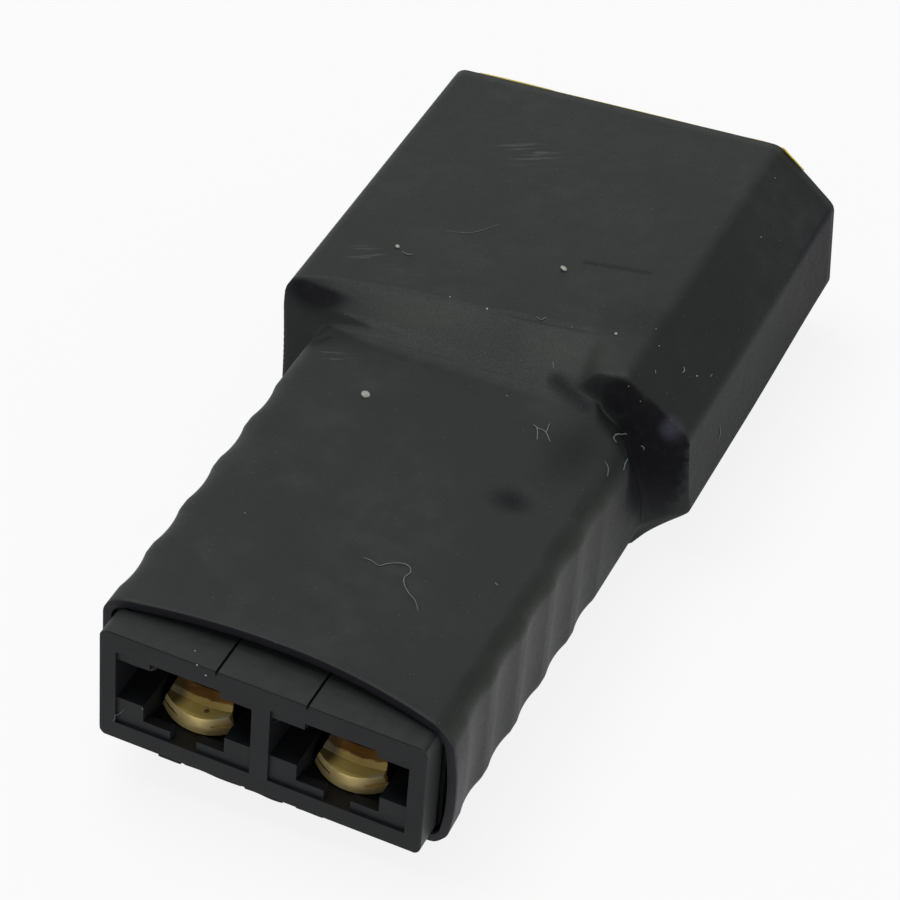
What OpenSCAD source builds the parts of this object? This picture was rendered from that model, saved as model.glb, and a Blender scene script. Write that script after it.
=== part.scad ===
// Wireless battery adapter: a two-blade socket at the front, a two-pin plug at the back, and one
// shrink sleeve over both. X runs across, +Y from the socket's mouth to the plug's rim, +Z up.
// The origin is under the middle of the part, on the surface that it lies on.

/* [Whole part] */
// Distance between the two housings, which the solder joints bridge
joint_l = 4.5; // [4:0.1:8]
// Turn of the socket end about the long axis, left by hand soldering, in degrees
socket_turn = 5; // [0:0.5:6]

/* [Socket housing] */
// Width across the socket's face
sock_w = 17; // [16.8:0.1:17.6]
// Height of the socket's face
sock_h = 7; // [6.8:0.1:7.6]
// Length of the socket housing
sock_l = 22; // [21:0.1:23.5]
// Radius of its long edges
sock_r = 0.5; // [0.3:0.05:0.8]
// Small bevel round the face
face_bevel = 0.05; // [0.05:0.05:0.3]
// Length of the plain front part, ahead of the side grooves
front_l = 1.7; // [1:0.1:2.5]
// Number of fins on each side
fin_count = 6; // [4:1:6]
// Distance of the first fin from the face
fin_start = 2.4; // [2.2:0.1:2.8]
// Distance of the last fin from the housing's back
fin_end = 2.2; // [1.5:0.1:3]
// Thickness of a fin
fin_t = 0.8; // [0.6:0.05:1]
// How far a fin stands out past the face's width
fin_proud = 0.12; // [0:0.02:0.2]
// Depth of the grooves between fins
groove_depth = 0.45; // [0.2:0.05:0.5]
// Width of the raised strip on top
strip_w = 4.7; // [3:0.1:6]
// Width of the seam on each side of the strip
seam_w = 0.14; // [0.1:0.02:0.3]
// Depth of those seams
seam_depth = 0.25; // [0.1:0.05:0.4]

/* [Chambers] */
// Thickness of the wall beside each chamber
side_wall = 0.875; // [0.7:0.025:1.1]
// Thickness of the wall between the two chambers
mid_wall = 0.95; // [0.8:0.05:1.3]
// Height of the slot that takes the blade
slot_h = 2.55; // [2.3:0.05:2.7]
// Height of the slot's middle above the housing's
slot_rise = 0.48; // [0.3:0.02:0.6]
// Width of the recess in the chamber's roof
roof_w = 3.7; // [3:0.1:4.4]
// Depth of that recess
roof_depth = 0.57; // [0.3:0.01:0.7]
// Width of the well in the chamber's floor, which holds the contact
well_w = 4.3; // [4.1:0.05:4.6]
// Depth of that well under the slot
well_depth = 1.6; // [1.5:0.05:1.7]
// Width of the notch between the two sills at the mouth
notch_w = 1.4; // [1:0.05:2]
// Height of the sills above the well's floor
sill_h = 0.6; // [0.3:0.05:0.8]
// Length of the sills
sill_l = 0.5; // [0.3:0.05:0.7]
// How far the mouth's corner blocks sit behind the face
block_setback = 0.15; // [0.05:0.05:0.3]
// Thickness of the wall behind each chamber
bulkhead_t = 2; // [1.5:0.1:2.5]
// Depth of the pocket behind the bulkhead
pocket_l = 6; // [5:0.1:7]
// Height of that pocket
pocket_h = 4.7; // [4:0.1:5]

/* [Contacts] */
// Distance of the contact's nose from the face
nose_y = 1.1; // [0.9:0.05:1.4]
// Thickness of the strip that the contact is folded from
strip_t = 0.48; // [0.4:0.02:0.5]
// Gap between the two layers at the fold
fold_gap = 0.14; // [0.08:0.02:0.2]
// Width of the contact's nose
contact_w = 4; // [3.6:0.05:4.1]
// Width of the strip behind the nose
leaf_w = 3.3; // [2.8:0.05:3.6]
// Radius of the nose, seen from above
nose_r = 3; // [2.6:0.1:5]
// Length of the nose
nose_l = 0.8; // [0.8:0.05:1.1]
// Depth of the flat front face cut into the fold
nose_cut = 0.35; // [0.1:0.05:0.4]
// Radius of its hollow section, seen from the front
trough_r = 6.5; // [5.5:0.1:9]
// Height of the bow's steep front part
ramp_h = 0.6; // [0.4:0.05:0.7]
// Height of the bow's crown above the ramp
crown_h = 0.55; // [0.3:0.05:0.6]
// Distance from the bow's end to the bulkhead
bow_clear = 3.15; // [2:0.05:5]
// Gap between the contact and the well's floor
contact_seat = 0.05; // [0.02:0.01:0.1]
// Width of the solder tail
tail_w = 2.6; // [2:0.1:3]
// Thickness of the solder tail
tail_t = 0.8; // [0.6:0.05:1]
// Gap round the tail where it goes through the bulkhead
tail_fit = 0.1; // [0.05:0.01:0.2]
// How far the tail reaches into the solder cup
tail_in_cup = 2.6; // [2:0.1:3]

/* [Plug housing] */
// Width of the plug
plug_w = 21.6; // [20.8:0.1:22]
// Height of the plug
plug_h = 10.3; // [9.8:0.1:11.2]
// Length of the plug housing
plug_l = 21.3; // [20.8:0.1:23]
// Size of the two chamfers on the +X side
plug_chamfer = 3; // [2:0.05:3.5]
// Radius of the plug's long edges
plug_r = 0.6; // [0.3:0.05:0.8]
// Thickness of the plug's walls
plug_wall = 1.15; // [0.9:0.05:1.3]
// Thickness of the base that holds the pins
base_t = 5; // [4.5:0.1:6]
// Length of the bevels at the base's rear edges
rear_bevel_l = 1.7; // [1:0.1:2]
// Height of those bevels
rear_bevel_h = 0.75; // [0.4:0.05:1]

/* [Bullet pins] */
// Distance between the two pins
pin_pitch = 10.9; // [10.6:0.05:11]
// Diameter of a pin
pin_d = 4.5; // [4:0.05:4.6]
// How far a pin's tip is behind the plug's rim
pin_back = 1.9; // [1:0.1:4]
// Rounding of the pin's tip
tip_r = 0.9; // [0.5:0.05:1.2]
// Width of the crossed slots
slit_w = 0.5; // [0.4:0.05:0.7]
// Length of the crossed slots
slit_l = 10; // [8:0.1:11]
// Turn of the crossed slots about the pin's axis, in degrees
slit_turn = 45; // [0:5:90]
// Diameter of the hole along the slotted part
pin_hole_d = 1.7; // [1.4:0.05:2]
// Diameter of the shank in the base
shank_d = 5; // [4.8:0.05:5.2]
// Diameter of the collar that locks the pin in the base
collar_d = 6; // [5.6:0.05:6.3]
// Length of that collar
collar_l = 1.2; // [0.8:0.1:1.5]
// Outside diameter of the solder cup
cup_d = 5.6; // [5.4:0.05:5.8]
// Inside diameter of the solder cup
cup_bore_d = 4.5; // [4.2:0.05:4.6]
// Gap between the cup's mouth and the socket housing
cup_clear = 0.9; // [0.7:0.05:1.5]
// Gap between a pin and the base round it
pin_fit = 0.02; // [0.01:0.01:0.05]
// Height of the solder's dome past the cup
solder_dome = 0.6; // [0.3:0.05:0.8]

/* [Shrink sleeve] */
// Thickness of the sleeve
sleeve_t = 0.5; // [0.4:0.02:0.6]
// Gap between the sleeve and the hard parts
sleeve_gap = 0.05; // [0.03:0.01:0.1]
// Distance of the sleeve's front edge from the socket's face, at its middle
sleeve_start = 2.2; // [1.8:0.1:2.4]
// How far the front edge comes forward at the corners
edge_bow = 0.85; // [0:0.05:1]
// How far the rim of the plug shows past the sleeve
rim_shown = 0.3; // [0.2:0.05:0.5]
// Depth of the sag between fins
sag = 0.32; // [0.1:0.02:0.4]
// Height of the gap over the socket at the sleeve's mouth
mouth_gap = 0.42; // [0.1:0.02:0.5]
// Radius of the sleeve's inner corners at the socket end
sleeve_r = 0.6; // [0.5:0.02:0.62]
// Length over which the sleeve swells from the socket's section to the plug's
flare_l = 3.1; // [2.4:0.1:3.5]
// How much sooner its top is at full height at -X than at +X
ridge_slant = 1.8; // [0:0.1:2]

/* [Hidden] */
$fn = 64;
eps = 0.01;

// How far each cup's floor is in the base, and the step from the shank to the pin
cup_floor_in = 0.3;
shoulder_l = 0.4;
// How far behind the wide nose the ramp starts, and how far the leaf reaches into the nose
ramp_in = 0.05;
leaf_in_nose = 0.15;
// Where the tail starts to rise behind the bulkhead, and over what length
rise_in = 0.5;
rise_l = 2.2;
// How far ahead of the plug the sleeve's sides are at full width
side_lead = 0.3;
// Length behind the socket's mouth over which the sleeve's lift fades out
mouth_fade = 4;
// Length behind the plug's bevel with close rings
settle_l = 4;

overall_l = sock_l + joint_l + plug_l;
half_h = plug_h / 2 + sleeve_gap + sleeve_t;
plug_back = overall_l - plug_l;
base_front = plug_back + base_t;
cup_mouth = sock_l + cup_clear;
tail_end = cup_mouth + tail_in_cup;
sleeve_end = overall_l - rim_shown;
cup_floor = plug_back + cup_floor_in;
collar_y = plug_back + base_t / 2;
pin_tip = overall_l - pin_back;
fin_pitch = (sock_l - fin_start - fin_end) / (fin_count - 1);

chamber_w = (sock_w - mid_wall) / 2 - side_wall;
chamber_pitch = chamber_w + mid_wall;
slot_bottom = slot_rise - slot_h / 2;
slot_top = slot_rise + slot_h / 2;
well_floor = slot_bottom - well_depth;
roof_top = slot_top + roof_depth;
trough_axis_z = well_floor + contact_seat + trough_r;
pocket_start = sock_l - pocket_l;
chamber_l = pocket_start - bulkhead_t;
tail_low_z = well_floor + contact_seat;

function mix(a, b, t) = a + (b - a) * t;
function smooth(t) = let (u = max(0, min(1, t))) u * u * (3 - 2 * u);
function arc(x, y, r, a0, a1, n) =
    [for (i = [0:n]) let (a = a0 + (a1 - a0) * i / n) [x + r * cos(a), y + r * sin(a)]];

// Places a shape that is drawn from the socket's face, about the part's middle height
module placed() {
    translate([0, -overall_l / 2, half_h]) children();
}

// Places a shape of the socket end, with its turn about the long axis
module turned() {
    placed() rotate([0, socket_turn, 0]) children();
}

// Extrudes an outline in X and Z along +Y
module along_y(from, length) {
    translate([0, from + length, 0]) rotate([90, 0, 0]) linear_extrude(length) children();
}

// Extrudes an outline in Y and Z across X, both ways from the middle
module across_x(width) {
    rotate([90, 0, 90]) linear_extrude(width, center = true) children();
}

module box(x0, x1, y0, y1, z0, z1) {
    translate([x0, y0, z0]) cube([x1 - x0, y1 - y0, z1 - z0]);
}

module round_rect(w, h, r) {
    polygon(concat(
        arc(w / 2 - r, h / 2 - r, r, 0, 90, 6), arc(r - w / 2, h / 2 - r, r, 90, 180, 6),
        arc(r - w / 2, r - h / 2, r, 180, 270, 6), arc(w / 2 - r, r - h / 2, r, 270, 360, 6)));
}

// The socket's outer form: a plain front, then a core with fins
module socket_block() {
    core_w = sock_w - 2 * groove_depth;
    fin_w = sock_w + 2 * fin_proud;
    along_y(0, front_l) round_rect(sock_w, sock_h, sock_r);
    along_y(0, sock_l) round_rect(core_w, sock_h, sock_r);
    for (i = [0:fin_count - 1])
        along_y(fin_start - fin_t / 2 + i * fin_pitch, fin_t) round_rect(fin_w, sock_h, sock_r);
}

// The bevel round the face, as what is left when the edges are taken off
module face_envelope() {
    wide = sock_w + 2 * fin_proud;
    intersection() {
        across_x(wide + 2) polygon([
            [0, face_bevel - sock_h / 2], [face_bevel, -sock_h / 2], [sock_l, -sock_h / 2],
            [sock_l, sock_h / 2], [face_bevel, sock_h / 2], [0, sock_h / 2 - face_bevel]]);
        translate([0, 0, -sock_h]) linear_extrude(2 * sock_h) polygon([
            [face_bevel - sock_w / 2, 0], [sock_w / 2 - face_bevel, 0], [sock_w / 2, face_bevel],
            [wide / 2, front_l], [wide / 2, sock_l], [-wide / 2, sock_l], [-wide / 2, front_l],
            [-sock_w / 2, face_bevel]]);
    }
}

// One chamber: blade slot, roof recess, contact well, sills and the pocket for the tail
module chamber() {
    half = chamber_w / 2;
    box(-half, half, -eps, block_setback, well_floor, roof_top);
    box(-half, half, 0, chamber_l, slot_bottom, slot_top);
    box(-roof_w / 2, roof_w / 2, 0, chamber_l, slot_top - eps, roof_top);
    box(-notch_w / 2, notch_w / 2, 0, block_setback + sill_l + eps, well_floor, slot_bottom + eps);
    box(-well_w / 2, well_w / 2, 0, block_setback + sill_l + eps, well_floor + sill_h,
        slot_bottom + eps);
    box(-well_w / 2, well_w / 2, block_setback + sill_l, chamber_l, well_floor, slot_bottom + eps);
    box(-leaf_w / 2 - tail_fit, leaf_w / 2 + tail_fit, chamber_l - eps, pocket_start + eps,
        well_floor, tail_low_z + tail_t + trough_rise + tail_fit);
    along_y(pocket_start, sock_l - pocket_start + eps) round_rect(chamber_w, pocket_h, sock_r);
}

module socket_housing() {
    color("#2e2f33") turned() difference() {
        intersection() {
            socket_block();
            face_envelope();
        }
        for (side = [-1, 1]) {
            translate([side * chamber_pitch / 2, 0, 0]) chamber();
            translate([side * strip_w / 2, 0, 0])
                box(-seam_w / 2, seam_w / 2, -eps, sock_l + eps, sock_h / 2 - seam_depth, sock_h);
        }
    }
}

// Side view of the folded strip, as distance from the trough's axis and distance along Y
contact_span = 2 * asin(contact_w / 2 / trough_r);
trough_rise = trough_r - sqrt(pow(trough_r, 2) - pow(leaf_w / 2, 2));
fold_r = strip_t + fold_gap / 2;
fold_y = nose_y - nose_cut + fold_r;
fold_axis = trough_r - fold_r;
leaf_low = trough_r - 2 * fold_r;
base_end = chamber_l + bulkhead_t / 2;
ramp_start = nose_y + nose_l + ramp_in;
ramp_end = ramp_start + ramp_h;
landing_y = chamber_l - bow_clear;
crown_y = mix(ramp_end, landing_y, 0.4);
landing_r = trough_r - 2 * strip_t - contact_seat;

// Height of the bow over the fold's top layer, at a distance along Y
function bow(y) =
    y < ramp_end ? max(0, y - ramp_start)
    : y < crown_y ? ramp_h + crown_h * sin(90 * (y - ramp_end) / (crown_y - ramp_end))
    : mix(ramp_h + crown_h, leaf_low - landing_r, smooth((y - crown_y) / (landing_y - crown_y)));

bow_ys = concat([fold_y, ramp_start, ramp_end],
    [for (i = [1:4]) mix(ramp_end, crown_y, i / 4)],
    [for (i = [1:7]) mix(crown_y, landing_y, i / 7)]);

module contact_profile() {
    outer = arc(fold_axis, fold_y, fold_r, 0, -180, 10);
    inner = arc(fold_axis, fold_y, fold_gap / 2, -180, 0, 6);
    leaf_out = [for (y = bow_ys) [leaf_low - bow(y), y]];
    leaf_in = [for (i = [len(bow_ys) - 1:-1:0]) [leaf_low - bow(bow_ys[i]) + strip_t, bow_ys[i]]];
    polygon(concat([[trough_r, base_end]], outer, leaf_out, leaf_in, inner,
        [[trough_r - strip_t, base_end]]));
}

// The solder tail: from the bulkhead it rises to the cup's middle and steps outwards
module tail(side) {
    rise_start = pocket_start + rise_in;
    rise_end = rise_start + rise_l;
    start = base_end - bulkhead_t;
    aside = side * (pin_pitch - chamber_pitch) / 2;
    low = tail_low_z + trough_rise;
    high = -tail_t / 2;
    intersection() {
        across_x(3 * chamber_w) polygon([
            [start, low], [rise_start, low], [rise_end, high], [tail_end, high],
            [tail_end, high + tail_t], [rise_end, high + tail_t], [rise_start, low + tail_t],
            [start, low + tail_t]]);
        translate([0, 0, -sock_h]) linear_extrude(2 * sock_h) polygon([
            [-tail_w / 2, start], [tail_w / 2, start], [tail_w / 2, rise_start],
            [aside + tail_w / 2, rise_end], [aside + tail_w / 2, tail_end],
            [aside - tail_w / 2, tail_end], [aside - tail_w / 2, rise_end],
            [-tail_w / 2, rise_start]]);
    }
}

// The strip's outline seen from above: a wide nose with a round front, then a narrower leaf
module strip_envelope() {
    intersection() {
        translate([0, nose_y + nose_r, -sock_h]) cylinder(r = nose_r, h = 2 * sock_h);
        box(-contact_w, contact_w, 0, nose_y + nose_l, -sock_h, sock_h);
    }
    box(-leaf_w / 2, leaf_w / 2, nose_y + nose_l - leaf_in_nose, base_end + eps, -sock_h, sock_h);
}

// One contact in its own chamber's frame; side is -1 on the left and 1 on the right
module contact_solid(side) {
    translate([side * chamber_pitch / 2, 0, 0]) {
        intersection() {
            translate([0, 0, trough_axis_z]) rotate([-90, 90 - contact_span / 2, 0])
                rotate_extrude(angle = contact_span) contact_profile();
            strip_envelope();
        }
        tail(side);
    }
}

module contact(side) {
    color("#c9a24a") turned() contact_solid(side);
}

// The plug's section: square at -X, with two chamfered corners at +X
module d_section(w, h, c, r) {
    a = w / 2 - r;
    b = h / 2 - r;
    k = c - r * (2 - sqrt(2));
    polygon(concat(
        arc(a, b - k, r, 0, 45, 3), arc(a - k, b, r, 45, 90, 3),
        arc(-a, b, r, 90, 180, 6), arc(-a, -b, r, 180, 270, 6),
        arc(a - k, -b, r, 270, 315, 3), arc(a, k - b, r, 315, 360, 3)));
}

module plug_housing() {
    inset = plug_wall * (2 - sqrt(2));
    color("#c9b21e") placed() difference() {
        intersection() {
            along_y(plug_back, plug_l) d_section(plug_w, plug_h, plug_chamfer, plug_r);
            across_x(plug_w + 2) polygon([
                [plug_back, plug_h / 2 - rear_bevel_h], [plug_back + rear_bevel_l, plug_h / 2],
                [overall_l, plug_h / 2], [overall_l, -plug_h / 2],
                [plug_back + rear_bevel_l, -plug_h / 2], [plug_back, rear_bevel_h - plug_h / 2]]);
        }
        along_y(base_front, plug_l)
            d_section(plug_w - 2 * plug_wall, plug_h - 2 * plug_wall, plug_chamfer - inset, plug_r / 2);
        for (side = [-1, 1]) translate([side * pin_pitch / 2, 0, 0]) pin_room();
    }
}

// The room that a pin takes in the base
module pin_room() {
    along_y(plug_back - eps, base_t / 2 + 2 * eps) circle(d = cup_d + 2 * pin_fit);
    along_y(collar_y, base_t / 2 + eps) circle(d = shank_d + 2 * pin_fit);
    along_y(collar_y - pin_fit, collar_l + 2 * pin_fit) circle(d = collar_d + 2 * pin_fit);
}

// A turned pin along +Y: cup, shank with collar, and slotted front with a round tip
module bullet_pin(side) {
    color("#c9a24a") placed() translate([side * pin_pitch / 2, 0, 0]) difference() {
        rotate([-90, 0, 0]) rotate_extrude() polygon(concat(
            [[0, cup_floor], [cup_bore_d / 2, cup_floor], [cup_bore_d / 2, cup_mouth],
             [cup_d / 2, cup_mouth], [cup_d / 2, collar_y], [collar_d / 2, collar_y],
             [collar_d / 2, collar_y + collar_l], [shank_d / 2, collar_y + collar_l],
             [shank_d / 2, base_front + shoulder_l], [pin_d / 2, base_front + 2 * shoulder_l]],
            arc(pin_d / 2 - tip_r, pin_tip - tip_r, tip_r, 0, 90, 6), [[0, pin_tip]]));
        along_y(pin_tip - slit_l, slit_l + eps) circle(d = pin_hole_d);
        for (turn = [0, 90]) rotate([0, slit_turn + turn, 0])
            box(-slit_w / 2, slit_w / 2, pin_tip - slit_l, pin_tip + eps, -pin_d, pin_d);
    }
}

// Solder that fills a cup round the contact's tail
module solder(side) {
    dome_r = (pow(cup_bore_d / 2, 2) + pow(solder_dome, 2)) / (2 * solder_dome);
    dome_a = asin(cup_bore_d / 2 / dome_r);
    color("#a9abad") placed() difference() {
        translate([side * pin_pitch / 2, 0, 0]) rotate([-90, 0, 0])
            rotate_extrude() polygon(concat([[0, cup_floor], [cup_bore_d / 2, cup_floor]],
                arc(0, cup_mouth - solder_dome + dome_r, dome_r, dome_a - 90, -90, 6)));
        rotate([0, socket_turn, 0]) contact_solid(side);
    }
}

// The sleeve: rings round the part, each a rounded section with two chamfers at +X. From the
// socket's small section it swells to the plug's, and it sags between the fins.
flare_start = plug_back - flare_l;
side_end = plug_back - side_lead;
top_end = plug_back + rear_bevel_l;
first_end = fin_start + fin_t / 2;
last_fin = fin_start + (fin_count - 1) * fin_pitch;
step_h = (plug_h - sock_h) / 2;
rear_share = 1 - rear_bevel_h / step_h;
edge_n = 6;

function flare_side(s) = smooth((s - flare_start) / (side_end - flare_start));
function flare_top(s) =
    s < plug_back ? rear_share * pow(max(0, s - flare_start) / flare_l, 1.5)
    : mix(rear_share, 1, min(1, (s - plug_back) / rear_bevel_l));
function turn_at(s) = socket_turn * (1 - smooth((s - sock_l) / (side_end - sock_l)));

// How deep the sleeve sags at s: nothing over a fin, most half way between two
function sag_at(s) =
    let (
        u = (s - fin_start) / fin_pitch, away = abs(u - round(u)) * fin_pitch,
        t = min(1, max(0, away - fin_t / 2) / (fin_pitch - fin_t) * 2))
    u < 0 || u > fin_count - 1 ? 0 : sag * t * (2 - t);

// How far the sleeve stands off the socket near its mouth: most at the edge, then fading out
function lift_at(s) =
    let (t = max(0, 1 - (s - sleeve_start) / mouth_fade)) mouth_gap * t * t;

// One ring's points for the inner face, or for the outer one when out is the wall's thickness
function ring(s, out) =
    let (
        side = flare_side(s), top = flare_top(s),
        a = mix(sock_w / 2 + fin_proud, plug_w / 2, side) + sleeve_gap + out - sag_at(s),
        b = mix(sock_h / 2, plug_h / 2, top) + sleeve_gap + out,
        r = mix(sleeve_r, plug_r, side) + out,
        small_c = sleeve_r * (2 - sqrt(2)),
        c = mix(small_c, max(small_c, plug_chamfer - (1 - top) * step_h), side)
            + out * (2 - sqrt(2)),
        k = max(eps / 10, c - r * (2 - sqrt(2))),
        i = a - r, j = b - r,
        right = arc(i, j - k, r, 0, 45, 2), right_top = arc(i - k, j, r, 45, 90, 2),
        left_top = arc(-i, j, r, 90, 180, 4), left_low = arc(-i, -j, r, 180, 270, 4),
        right_low = arc(i - k, -j, r, 270, 315, 2), low = arc(i, k - j, r, 315, 360, 2))
    concat(right, right_top,
        [for (n = [1:edge_n - 1]) [mix(i - k, -i, n / edge_n), b]], left_top,
        [for (n = [1:2]) [-a, mix(j, -j, n / 3)]], left_low,
        [for (n = [1:edge_n - 1]) [mix(-i, i - k, n / edge_n), -b]], right_low, low,
        [for (n = [1:2]) [a, mix(k - j, j - k, n / 3)]]);

// Lifts the mouth off the socket, bows its edge, slants the top ridge and turns the socket end
function shaped(p, s) =
    let (
        u = max(-1, min(1, p[0] / (sock_w / 2))), v = max(-1, min(1, p[1] / (sock_h / 2))),
        lift = lift_at(s),
        sooner = step_h * (flare_top(s + ridge_slant) - flare_top(s)) * (1 - u) / 2,
        x = p[0] + (p[0] > 0 ? lift * (1 - v * v) : 0),
        z = p[1] + (p[1] > 0 ? lift * (1 - u * u) + sooner : -sooner),
        y = s - edge_bow * max(0, 1 - (s - sleeve_start) / (first_end - sleeve_start)) * u * u,
        t = turn_at(s))
    [x * cos(t) + z * sin(t), y, z * cos(t) - x * sin(t)];

ring_ys = concat(
    [sleeve_start],
    [for (i = [0:fin_count - 2]) for (t = [0:2])
        first_end + i * fin_pitch + (fin_pitch - fin_t) * t / 2],
    [for (i = [0:3]) mix(last_fin + fin_t / 2, flare_start, i / 3)],
    [for (i = [1:8]) mix(flare_start, plug_back, i / 8)],
    [for (i = [1:3]) mix(plug_back, top_end, i / 3)],
    [top_end + settle_l, (top_end + settle_l + sleeve_end) / 2, sleeve_end]);

module heat_shrink_sleeve() {
    n = len(ring(sleeve_start, 0));
    m = len(ring_ys);
    points = concat(
        [for (s = ring_ys) for (p = ring(s, sleeve_t)) shaped(p, s)],
        [for (s = ring_ys) for (p = ring(s, 0)) shaped(p, s)]);
    outer = [for (q = [0:m - 2]) for (p = [0:n - 1])
        let (w = (p + 1) % n, a = q * n)
        each [[a + p, a + w, a + n + p], [a + w, a + n + w, a + n + p]]];
    inner = [for (q = [0:m - 2]) for (p = [0:n - 1])
        let (w = (p + 1) % n, a = (m + q) * n)
        each [[a + p, a + n + p, a + w], [a + w, a + n + p, a + n + w]]];
    ends = [for (p = [0:n - 1])
        let (w = (p + 1) % n, a = (m - 1) * n, c = m * n, d = (2 * m - 1) * n)
        each [[p, c + p, w], [w, c + p, c + w], [a + p, a + w, d + p], [a + w, d + w, d + p]]];
    color("#333634") placed() polyhedron(points, concat(outer, inner, ends), convexity = 6);
}

socket_housing();
contact(-1);  // contact_left
contact(1);  // contact_right
plug_housing();
bullet_pin(-1);  // bullet_pin_left
bullet_pin(1);  // bullet_pin_right
solder(-1);  // solder_left
solder(1);  // solder_right
heat_shrink_sleeve();
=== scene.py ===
"""Looks of a wireless battery adapter: a finned blade socket and a keyed bullet-pin plug under
one shrink sleeve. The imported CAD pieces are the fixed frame. Sizes here are in millimetres,
measured from the socket's face along the part and from its middle height, until a mesh is made.
"""

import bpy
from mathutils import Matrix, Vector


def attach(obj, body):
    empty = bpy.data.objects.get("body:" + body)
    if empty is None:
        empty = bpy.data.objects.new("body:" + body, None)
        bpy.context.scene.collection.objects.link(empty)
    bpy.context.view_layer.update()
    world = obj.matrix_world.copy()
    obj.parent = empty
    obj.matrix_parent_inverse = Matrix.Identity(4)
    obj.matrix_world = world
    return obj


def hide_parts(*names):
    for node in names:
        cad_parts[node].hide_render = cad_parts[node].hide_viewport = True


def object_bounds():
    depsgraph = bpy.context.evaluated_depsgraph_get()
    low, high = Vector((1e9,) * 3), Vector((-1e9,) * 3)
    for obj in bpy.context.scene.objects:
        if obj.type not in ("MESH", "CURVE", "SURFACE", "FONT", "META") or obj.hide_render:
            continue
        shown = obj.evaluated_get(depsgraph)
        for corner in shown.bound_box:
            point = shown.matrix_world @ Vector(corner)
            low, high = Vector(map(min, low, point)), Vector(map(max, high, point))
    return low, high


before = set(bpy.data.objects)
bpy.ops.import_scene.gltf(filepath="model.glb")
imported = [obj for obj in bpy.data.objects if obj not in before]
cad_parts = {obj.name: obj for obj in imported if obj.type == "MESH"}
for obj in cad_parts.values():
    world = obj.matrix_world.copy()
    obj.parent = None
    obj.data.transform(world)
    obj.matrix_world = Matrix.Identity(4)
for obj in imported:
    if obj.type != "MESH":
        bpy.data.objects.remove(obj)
CAD_BOX = [list(corner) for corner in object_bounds()]

import logging
import math
from dataclasses import dataclass, field
from enum import Enum
from functools import reduce
from typing import Any, Optional, Sequence

import bpy
import numpy as np
from mathutils import Matrix, Vector
from mathutils.bvhtree import BVHTree

MM = 0.001
BODY = "root"
FACE_Y = CAD_BOX[0][1] / MM
MID_Z = CAD_BOX[1][2] / MM / 2
log = logging.getLogger("adapter")

Point = tuple[float, float, float]
Colour = tuple[float, float, float]
Socket = bpy.types.NodeSocket
Thing = bpy.types.Object
Material = bpy.types.Material


def smooth(value: np.ndarray | float) -> np.ndarray:
    """Smooth step of a value, flat below 0 and above 1."""
    held = np.clip(value, 0.0, 1.0)
    return held * held * (3 - 2 * held)


def mix(low: Any, high: Any, share: Any) -> Any:
    """Straight mix from low to high by share."""
    return low + (high - low) * share


def to_part(points: np.ndarray) -> np.ndarray:
    """Moves millimetres from the socket's face into the frame's metres.

    Args:
        points: rows of x, distance from the face, height above the middle.
    Returns:
        Rows of x, y, z in the shared frame, in metres.
    """
    return (np.asarray(points, float) + (0.0, FACE_Y, MID_Z)) * MM


def turned(points: np.ndarray, degrees: np.ndarray | float) -> np.ndarray:
    """Turns points about the part's long axis, as the socket end is turned.

    Args:
        points: rows of x, distance from the face, height above the middle.
        degrees: one angle, or one for each row.
    Returns:
        The turned rows.
    """
    angle = np.radians(degrees)
    x, z = points[:, 0], points[:, 2]
    return np.column_stack([x * np.cos(angle) + z * np.sin(angle), points[:, 1],
                            z * np.cos(angle) - x * np.sin(angle)])


def linked(name: str, data: Any) -> Thing:
    """A new object in the scene with the data that it shows."""
    thing = bpy.data.objects.new(name, data)
    bpy.context.scene.collection.objects.link(thing)
    return thing


class Graph:
    """Adds nodes to a tree and links them by name."""

    def __init__(self, tree: bpy.types.NodeTree) -> None:
        """Keeps the tree and its nodes."""
        self.tree = tree
        self.nodes = tree.nodes

    def add(self, kind: str, inputs: Optional[dict[Any, Any]] = None, **settings: Any) -> bpy.types.Node:
        """Adds one node.

        Args:
            kind: the node's type name.
            inputs: values or output sockets for inputs, by name or index.
            settings: attributes of the node.
        Returns:
            The new node.
        """
        node = self.nodes.new(kind)
        for name, value in settings.items():
            setattr(node, name, value)
        for key, value in (inputs or {}).items():
            self.put(node.inputs[key], value)
        return node

    def put(self, socket: Socket, value: Any) -> None:
        """Links an output to a socket, or sets the socket's own value."""
        if isinstance(value, Socket):
            self.tree.links.new(value, socket)
        elif isinstance(value, bpy.types.Node):
            self.tree.links.new(value.outputs[0], socket)
        else:
            socket.default_value = value

    def math(self, operation: str, *values: Any, clamp: bool = False) -> Socket:
        """Adds a Math node and returns its output."""
        return self.add("ShaderNodeMath", dict(enumerate(values)), operation=operation,
                        use_clamp=clamp).outputs[0]

    def times(self, *values: Any) -> Socket:
        """The product of two or more numbers."""
        return reduce(lambda first, second: self.math("MULTIPLY", first, second), values)

    def most(self, *values: Any) -> Socket:
        """The greatest of two or more numbers."""
        return reduce(lambda first, second: self.math("MAXIMUM", first, second), values)

    def vector(self, operation: str, *values: Any) -> bpy.types.Node:
        """Adds a Vector Math node."""
        return self.add("ShaderNodeVectorMath", dict(enumerate(values)), operation=operation)

    def scaled(self, vector: Any, share: Any) -> Socket:
        """A vector times a number."""
        node = self.vector("SCALE", vector)
        self.put(node.inputs["Scale"], share)
        return node.outputs[0]

    def attribute(self, name: str, kind: str = "FLOAT") -> Socket:
        """A mesh's own numbers or vectors, by name."""
        return self.add("GeometryNodeInputNamedAttribute", {"Name": name}, data_type=kind).outputs[0]


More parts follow.
